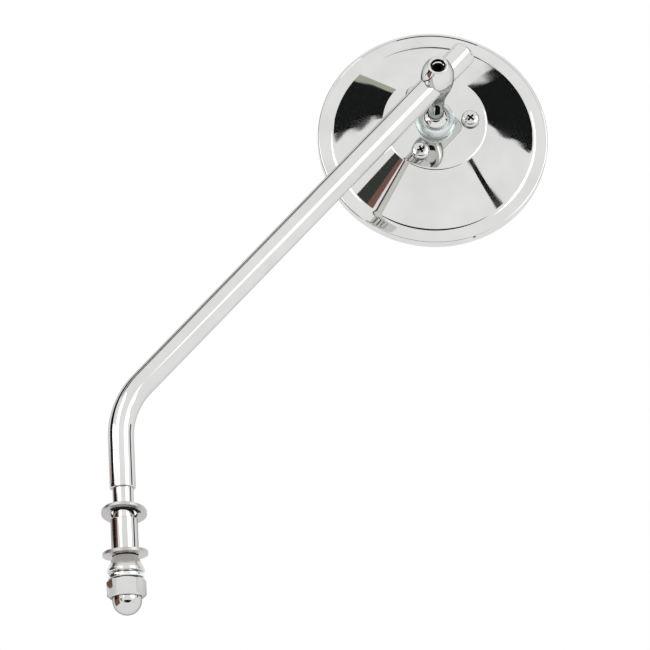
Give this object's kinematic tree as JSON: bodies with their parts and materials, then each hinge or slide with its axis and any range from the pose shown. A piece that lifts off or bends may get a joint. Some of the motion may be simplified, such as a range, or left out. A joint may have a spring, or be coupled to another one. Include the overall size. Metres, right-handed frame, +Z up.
{
  "type": "round clamp-on motorcycle mirror",
  "caption": "Round rear-view mirror on a long bent rod, with a threaded stud and nut at its foot; the head slides along the arm on a clamped post and tilts on a ball joint.",
  "frame": {"origin": "on the stud's axis, in the plane of the rod's lower shoulder where the thinner stud begins", "axes": "+Z up along the stud and the rod's straight foot; the rod bends towards +X in the XZ plane; the back of the mirror's head looks towards -Y and the glass towards +Y"},
  "size_m": [0.2133, 0.0793, 0.28],
  "materials": {
    "chrome_rod": "bright chrome plate on steel",
    "washer_steel": "satin, tumbled, a little dull",
    "chrome_sleeve": "bright chrome plate on steel",
    "turned_steel": "fine turned",
    "zinc": "blue-white zinc plate",
    "chrome_nut": "bright chrome plate on steel",
    "chrome_post": "bright chrome plate on steel",
    "black_oxide": "black oxide",
    "nylon": "natural nylon",
    "chrome_shell": "bright chrome plate on steel",
    "zinc_cup": "blue-white zinc plate, half bright",
    "chrome_bezel": "bright chrome plate on steel",
    "rubber": "matte",
    "foam": "soft foam sheet",
    "mirror": "polished",
    "chrome_screw": "bright chrome plate on steel"
  },
  "bodies": {
    "stem": {"stem_rod": "chrome_rod", "upper_washer": "washer_steel", "spacer_sleeve": "chrome_sleeve", "lower_washer": "washer_steel", "cone_washer": "turned_steel", "lock_washer": "zinc", "acorn_nut": "chrome_nut"},
    "post": {"swivel_post": "chrome_post", "set_screw": "black_oxide"},
    "liner": {"ball_liner": "nylon"},
    "head": {"back_shell": "chrome_shell", "socket_plate": "zinc_cup", "clamp_plate": "zinc", "rim_bezel": "chrome_bezel", "seal_ring": "rubber", "backing_pad": "foam", "mirror_glass": "mirror", "plate_screw_1": "chrome_screw", "plate_screw_2": "chrome_screw", "plate_screw_3": "chrome_screw"}
  },
  "joints": [
    {"name": "post_slide", "type": "slide", "parent": "stem", "child": "post", "axis": [0.6978, 0, 0.7163], "range_m": [-0.145, 0.012]},
    {"name": "head_turn", "type": "hinge", "parent": "post", "child": "liner", "pos_m": [0.15029, 0.03421, 0.1771], "axis": [-0.1769, -0.969, 0.1724], "continuous": true},
    {"name": "head_tilt", "type": "hinge", "parent": "liner", "child": "head", "pos_m": [0.15029, 0.03421, 0.1771], "axis": [0.9363, -0.1118, 0.3329], "range_deg": [-30, 20]}
  ]
}
